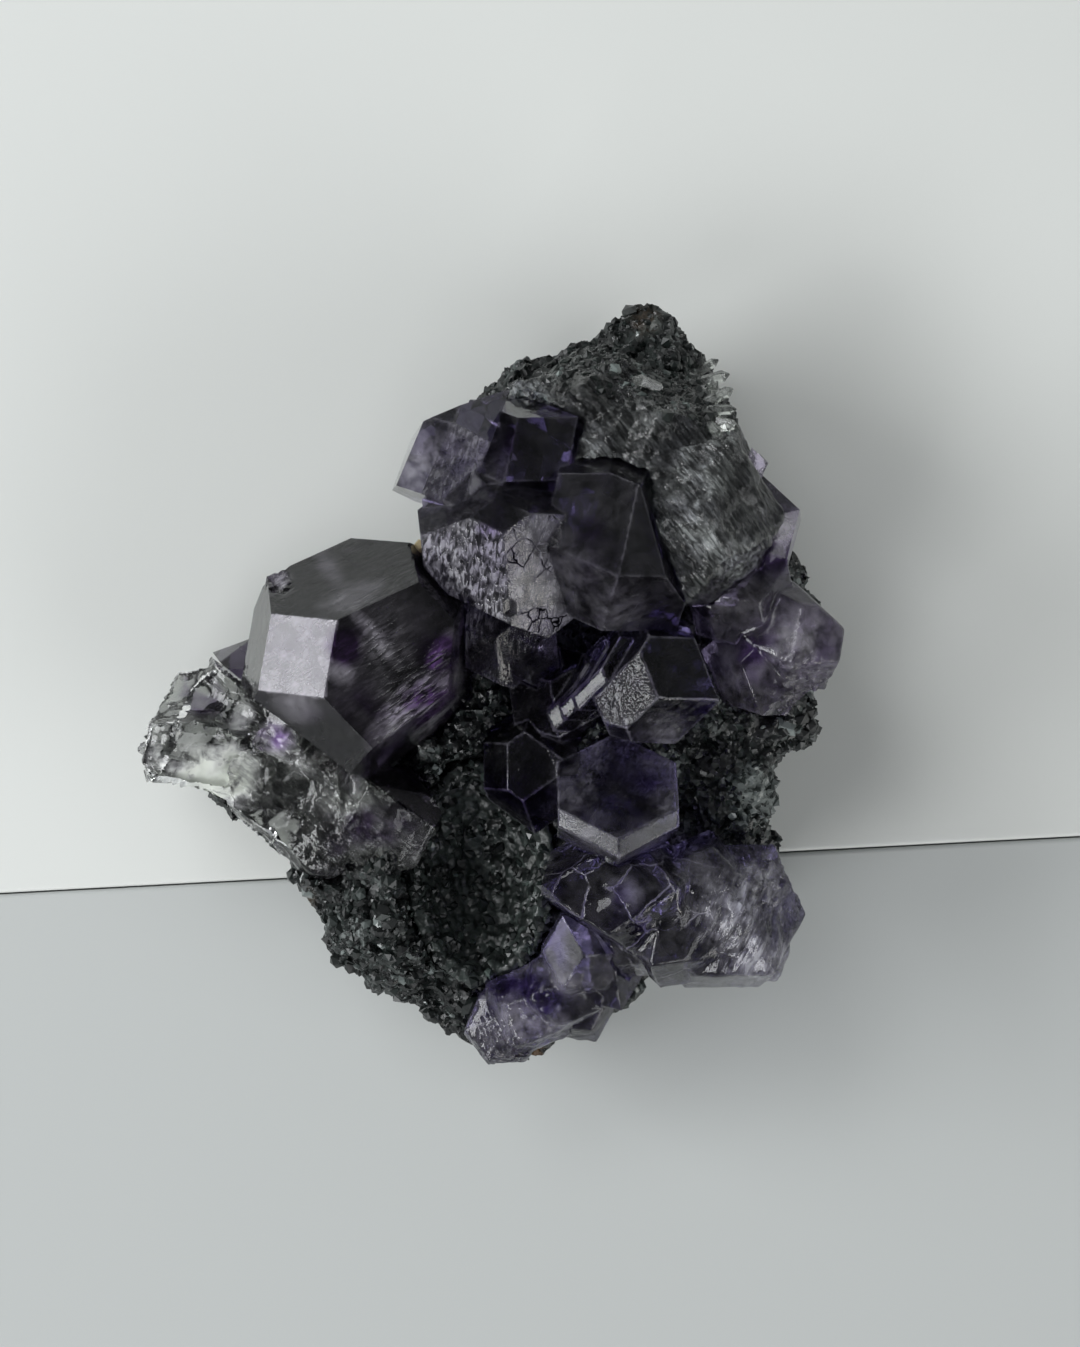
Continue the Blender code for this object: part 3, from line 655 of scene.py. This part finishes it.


# What all grains share: how low on the part they may stand and reach, in mm, how uneven and drawn out they are, how
# much more common the small ones are, and how much paler a glinting one is painted: a painted glint, on top of the
# real gloss that its smoother surface gives.
grainShape = dict(standAbove=1.2, reachDown=0.05, uneven=(0.75, 1.15), drawn=(0.6, 1.3), smallness=2.2, paler=0.6)


def grainMaterial(name, field):
    made, tree = newMaterial("glassy_quartz_" + name)
    tone = addNode(tree, "Attribute", {"attribute_name": "tone"})
    ramp = addNode(tree, "ValToRGB", None, {"Fac": tone.outputs["Fac"]})
    setRamp(ramp, list(zip((0.0, 0.7, 1.0), field["tones"])))
    rough = addNode(tree, "MapRange", {"To Min": 0.45, "To Max": 0.12}, {"Value": tone.outputs["Fac"]})
    shader = addNode(tree, "BsdfPrincipled", {"IOR": 1.54},
                     {"Base Color": ramp.outputs["Color"], "Roughness": rough})
    addNode(tree, "OutputMaterial", None, {"Surface": shader})
    return made


def grainPiece(name, field, ground):
    # many small crystals in one mesh, each an ico sphere drawn out and turned its own way
    chance = np.random.default_rng(field["seed"])
    mesh = ground.data
    middles = np.array([p.center for p in mesh.polygons])
    facings = np.array([p.normal for p in mesh.polygons])
    areas = np.array([p.area for p in mesh.polygons])
    across, down = photoPlaces(middles)
    weight = np.full(len(middles), field["bare"])
    for spot in field["dense"]:
        weight = np.maximum(weight, softSpot(across, down, spot))
    weight *= areas * (middles[:, 2] > grainShape["standAbove"] * mm)
    chosen = chance.choice(len(middles), field["count"], p=weight / weight.sum())
    deselectAll()
    bpy.ops.mesh.primitive_ico_sphere_add(subdivisions=1, radius=1)
    pattern = bpy.context.object
    corners = np.array([v.co for v in pattern.data.vertices])
    triangles = np.array([p.vertices[:] for p in pattern.data.polygons])
    bpy.data.objects.remove(pattern)
    count, each = len(chosen), len(corners)
    low, high = field["size"]
    size = low + (high - low) * chance.random((count, 1, 1)) ** grainShape["smallness"]
    stretch = chance.uniform(*grainShape["drawn"], (count, 1, 3))
    shapes = corners[None] * chance.uniform(*grainShape["uneven"], (count, each, 1)) * stretch * size
    turns = np.linalg.qr(chance.normal(size=(count, 3, 3)))[0]
    turns[np.linalg.det(turns) < 0, 0] *= -1
    shapes = np.einsum("nij,nkj->nki", turns, shapes) * mm
    centres = middles[chosen] - facings[chosen] * (size[:, 0] * field["sink"] * mm)
    shapes += centres[:, None]
    faces = (triangles[None] + (np.arange(count) * each)[:, None, None]).reshape(-1, 3)
    shapes = shapes.reshape(-1, 3)
    shapes[:, 2] = np.maximum(shapes[:, 2], grainShape["reachDown"] * mm)
    grainMesh = bpy.data.meshes.new(name)
    grainMesh.from_pydata(shapes.tolist(), [], faces.tolist())
    piece = bpy.data.objects.new(name, grainMesh)
    bpy.context.scene.collection.objects.link(piece)
    # a share of the grains painted paler and made smoother: the paler colour is a painted glint
    tone = chance.beta(1.2, 2.6, count) + (chance.random(count) < field["glint"]) * grainShape["paler"]
    layer = grainMesh.attributes.new("tone", "FLOAT", "POINT")
    layer.data.foreach_set("value", np.repeat(np.clip(tone, 0, 1), each).astype(np.float32))
    grainMesh.materials.append(grainMaterial(name, field))
    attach(piece, "root")
    print(name, len(grainMesh.polygons), "faces")


# Clear quartz points and a cream crumb, each where the photograph shows it: column, row, radius and length in mm,
# and the way that it points, in degrees anticlockwise from the right and up from level. "tip" is how far its sides
# close in at the top, "steep" how long that part is for its width, and "out" how far the middle stands out.
smallPieces = {
    "quartz_points": dict(
        sides=6, tip=0.85, steep=1.4, out=0.3, colour="#dfe2de",
        at=[(698, 372, 0.60, 2.8, 30, 15), (703, 382, 0.75, 3.2, 15, 20), (707, 392, 0.55, 2.8, -5, 10),
            (709, 401, 0.70, 3.2, 25, 25), (712, 410, 0.60, 2.8, 0, 15), (714, 420, 0.70, 3.0, -20, 20),
            (712, 430, 0.55, 2.6, 10, 30), (706, 396, 0.60, 2.6, 50, 45), (708, 424, 0.60, 2.6, -45, 35),
            (655, 388, 0.85, 3.0, 160, 30), (610, 861, 0.55, 1.2, 100, 50), (600, 858, 0.40, 1.0, 150, 40),
            (532, 862, 0.50, 1.2, 60, 50), (545, 868, 0.40, 1.0, 20, 40)]),
    "cream_crumb": dict(sides=5, tip=0.35, steep=1.4, out=0.3, tones=("#8f7f5c", "#cdbd94"),
                        at=[(421, 549, 0.9, 1.2, 90, 70)]),
}


def smallMaterial(name, entry):
    # clear quartz is glassy with a little haze, and calcite is a matt cream
    made, tree = newMaterial("clear_quartz" if name == "quartz_points" else "cream_calcite")
    place = addNode(tree, "TexCoord").outputs["Object"]
    cloud = addNode(tree, "TexNoise", {"Scale": 1 / (0.8 * mm), "Detail": 3.0}, {"Vector": place})
    if name == "quartz_points":
        haze = addNode(tree, "MapRange", {"From Min": 0.4, "From Max": 0.7, "To Min": 0.96, "To Max": 0.70},
                       {"Value": cloud})
        shader = addNode(tree, "BsdfPrincipled",
                         {"IOR": 1.544, "Roughness": 0.06, "Base Color": linear(entry["colour"])},
                         {"Transmission Weight": haze})
    else:
        low, high = entry["tones"]
        colour = addNode(tree, "Mix", {"data_type": "RGBA", 6: linear(low), 7: linear(high)}, {0: cloud})
        shader = addNode(tree, "BsdfPrincipled", {"Roughness": 0.7}, {"Base Color": colour.outputs[2]})
    addNode(tree, "OutputMaterial", None, {"Surface": shader})
    return made


def smallPiece(name, entry, carriers):
    # pointed prisms, each stood on what the eye meets at its place
    narrow = 1 - entry["tip"]
    points = []
    for across, down, radius, length, turn, up in entry["at"]:
        hits = [carrier.ray_cast(*eyeRay(across, down)) for carrier in carriers]
        hits = [hit[1] for hit in hits if hit[0]]
        if not hits:
            print("nothing carries", name, across, down)
            continue
        foot = max(hits, key=lambda place: place.z)
        deselectAll()
        bpy.ops.mesh.primitive_cylinder_add(vertices=entry["sides"], radius=radius * mm, depth=length * mm)
        point = bpy.context.object
        bpy.ops.object.mode_set(mode="EDIT")
        bpy.ops.mesh.select_all(action="DESELECT")
        bpy.ops.object.mode_set(mode="OBJECT")
        for face in point.data.polygons:
            face.select = face.normal.z > 0.9
        bpy.ops.object.mode_set(mode="EDIT")
        rise = radius * entry["tip"] * entry["steep"] * mm
        bpy.ops.mesh.extrude_region_move(TRANSFORM_OT_translate={"value": (0, 0, rise)})
        bpy.ops.transform.resize(value=(narrow, narrow, 1), center_override=(0, 0, 0))
        bpy.ops.object.mode_set(mode="OBJECT")
        lean = Matrix.Rotation(math.radians(turn), 4, "Z") @ Matrix.Rotation(math.radians(90 - up), 4, "Y")
        outward = Matrix.Translation((0, 0, length * entry["out"] * mm))
        point.data.transform(Matrix.Translation(foot) @ lean @ outward)
        points.append(point)
    deselectAll()
    for point in points:
        point.select_set(True)
    bpy.context.view_layer.objects.active = points[0]
    bpy.ops.object.join()
    piece = bpy.context.object
    bpy.ops.object.transform_apply(location=True, rotation=True, scale=True)
    piece.name = piece.data.name = name
    piece.data.materials.clear()
    piece.data.materials.append(smallMaterial(name, entry))
    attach(piece, "root")
    print(name, len(piece.data.polygons), "faces")


# The hollow's druse is a crust of tiny dark quartz crystals, dull with a sparkle here and there. Sizes are in mm.
druse = dict(voxel=0.22, grain=1.15, grainHeight=0.62, sunk=0.75, tones=("#0c0f0e", "#3c4340"))


def druseMaterial():
    made, tree = newMaterial("dark_quartz_druse")
    place = addNode(tree, "TexCoord").outputs["Object"]
    grains = addNode(tree, "TexVoronoi", {"Scale": 1 / (druse["grain"] * mm)}, {"Vector": place})
    tone = addNode(tree, "SeparateColor", None, {"Color": grains.outputs["Color"]})
    colour = addNode(tree, "Mix", {"data_type": "RGBA", 6: linear(druse["tones"][0]), 7: linear(druse["tones"][1])},
                     {0: tone.outputs["Red"]})
    tilt = addNode(tree, "VectorMath", {"operation": "SUBTRACT", 1: (0.5, 0.5, 0.5)},
                   {0: grains.outputs["Color"]})
    tilt = addNode(tree, "VectorMath", {"operation": "SCALE", "Scale": 0.5}, {0: tilt})
    grit = addNode(tree, "TexNoise", {"Scale": 1 / (0.3 * mm), "Detail": 3.0}, {"Vector": place})
    bump = addNode(tree, "Bump", {"Strength": 0.6, "Distance": 0.1 * mm}, {"Height": grit})
    facing = addNode(tree, "VectorMath", {"operation": "ADD"}, {0: bump, 1: tilt})
    facing = addNode(tree, "VectorMath", {"operation": "NORMALIZE"}, {0: facing})
    shader = addNode(tree, "BsdfPrincipled", {"IOR": 1.54, "Roughness": 0.32},
                     {"Base Color": colour.outputs[2], "Normal": facing})
    addNode(tree, "OutputMaterial", None, {"Surface": shader})
    return made


def drusePiece():
    piece = workingCopy("druse_crust", "druse_lining")
    applyModifier(piece, "REMESH", mode="VOXEL", voxel_size=druse["voxel"] * mm)
    mesh = piece.data
    places, normals = vertexArrays(mesh)
    moved = np.zeros(len(places))
    for i, place in enumerate(places):
        near = noise.voronoi(Vector(place) / (druse["grain"] * mm))[0]
        moved[i] = druse["grainHeight"] * (druse["sunk"] - near[0])
    places += normals * (moved * mm)[:, None]
    mesh.vertices.foreach_set("co", places.ravel())
    mesh.update()
    pick(piece)
    bpy.ops.object.shade_smooth()
    piece.data.materials.append(druseMaterial())
    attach(piece, "root")
    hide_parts("druse_crust")
    print("druse", len(mesh.polygons), "faces")
    return piece


# Two boards with matte, faintly rough paint that spreads the light evenly. The lower board's colour is darker,
# partly its own paint and partly painted shade for the dimmer light that falls at the bottom. Sizes are in mm.
floor = dict(reach=900.0, thickness=12.0, gap=0.20, bevel=0.5, seamLeft=(0, 894), seamRight=(1080, 837),
             upper="#e6e8e4", lower="#c6c9c7")


def floorBoard(name, colour, far):
    # one of the two pale boards, its edge along the seam
    left, right = seen(*floor["seamLeft"], 0), seen(*floor["seamRight"], 0)
    turn = math.atan2(right.y - left.y, right.x - left.x)
    reach = floor["reach"] * mm
    bpy.ops.mesh.primitive_cube_add(size=1)
    board = bpy.context.object
    board.name = name
    middle = (left + right) / 2
    out = Vector((-math.sin(turn), math.cos(turn), 0)) * (1 if far else -1)
    centre = middle + out * (reach / 2 + floor["gap"] / 2 * mm)
    centre.z = -floor["thickness"] / 2 * mm
    board.data.transform(Matrix.Translation(centre) @ Matrix.Rotation(turn, 4, "Z")
                         @ Matrix.Diagonal((reach * 2, reach, floor["thickness"] * mm, 1)))
    applyModifier(board, "BEVEL", width=floor["bevel"] * mm, segments=3)
    made, tree = newMaterial("matte_painted_board_" + name)
    place = addNode(tree, "TexCoord").outputs["Object"]
    grain = addNode(tree, "TexNoise", {"Scale": 1 / (0.8 * mm), "Detail": 3.0}, {"Vector": place})
    bump = addNode(tree, "Bump", {"Strength": 0.15, "Distance": 0.05 * mm}, {"Height": grain})
    shader = addNode(tree, "BsdfPrincipled", {"Base Color": linear(colour), "Roughness": 0.6}, {"Normal": bump})
    addNode(tree, "OutputMaterial", None, {"Surface": shader})
    board.data.materials.append(made)


# Soft lights, by the way that they lie from the specimen, how far away and how large they are, in metres: windows
# on the left, above and at the front left, a low one at the right, and the pale side of the room above that.
# Radiance is what a clear reflection of them shows.
lightTarget = 20.0   # the height in mm that they point at
daylight = "#fbfdff"
lights = {
    "window_left": dict(way=(-0.870, 0.091, 0.485), away=1.4, size=(1.13, 0.49), radiance=8.4, colour=daylight),
    "window_top": dict(way=(-0.396, 0.507, 0.766), away=0.60, size=(0.26, 0.16), radiance=4.0, colour=daylight),
    "window_front_left": dict(way=(-0.492, -0.587, 0.643), away=1.4, size=(0.60, 0.40), radiance=7.4,
                              colour=daylight),
    "window_right": dict(way=(0.737, -0.663, 0.13), away=1.3, size=(0.75, 0.27), radiance=4.2, colour="#fffdf8"),
    "room_right": dict(way=(0.695, -0.487, 0.530), away=1.4, size=(1.30, 0.60), radiance=2.6, colour="#f6f8fa"),
}


def softLight(name, light):
    way = Vector(light["way"]).normalized()
    target = Vector((0, 0, lightTarget * mm))
    bpy.ops.object.light_add(type="AREA", location=target + way * light["away"])
    lamp = bpy.context.object
    lamp.name = name
    lamp.data.shape = "RECTANGLE"
    lamp.data.size, lamp.data.size_y = light["size"]
    lamp.data.energy = light["radiance"] * math.pi * light["size"][0] * light["size"][1]
    lamp.data.color = linear(light["colour"])[:3]
    lamp.rotation_euler = way.to_track_quat("Z", "Y").to_euler()
    lamp.visible_camera = False


# A dim room, paler near the horizon and dark overhead.
room = dict(colour="#e6ebee", horizon=0.36, overhead=0.09)


def roomLight():
    world = bpy.data.worlds.new("dim_room")
    bpy.context.scene.world = world
    world.use_nodes = True
    tree = world.node_tree
    tree.nodes.clear()
    way = addNode(tree, "TexCoord").outputs["Generated"]
    up = addNode(tree, "SeparateXYZ", None, {"Vector": way})
    fade = addNode(tree, "MapRange", {"To Min": room["horizon"], "To Max": room["overhead"]},
                   {"Value": up.outputs["Z"]})
    background = addNode(tree, "Background", {"Color": linear(room["colour"])}, {"Strength": fade})
    addNode(tree, "OutputWorld", None, {"Surface": background})


def lookDown():
    bpy.ops.object.camera_add(location=(0, 0, photo["eyeHeight"] * mm), rotation=(0, 0, 0))
    camera = bpy.context.object
    camera.name = "photo_camera"
    camera.data.sensor_fit = "VERTICAL"
    camera.data.sensor_height = photo["sensor"]
    camera.data.lens = photo["sensor"] * photo["scale"] / photo["height"]
    camera.data.clip_start, camera.data.clip_end = 0.01, 10
    bpy.context.scene.camera = camera


lookDown()
for lampName, lamp in lights.items():
    softLight(lampName, lamp)
roomLight()
floorBoard("board_upper", floor["upper"], True)
# the lower board, its colour darker: partly its own paint, partly painted shade
floorBoard("board_lower", floor["lower"], False)
print("camera, lights and floor")

copies = {groupName: workingCopy(crystalGroup["node"], groupName + "_crystals")
          for groupName, crystalGroup in crystalGroups.items()}
grounds = {groupName: crystalPiece(groupName, crystalGroup, copies[groupName])
           for groupName, crystalGroup in crystalGroups.items()}
grounds.update(rock=rockPiece(), druse=drusePiece())
for fieldName, grainField in grainFields.items():
    grainPiece(fieldName, grainField, grounds[grainField["on"]])

for smallName, smallEntry in smallPieces.items():
    smallPiece(smallName, smallEntry, list(grounds.values()))

scene = bpy.context.scene
scene.view_settings.view_transform = "Standard"
scene.cycles.max_bounces = 12
scene.cycles.transmission_bounces = 8
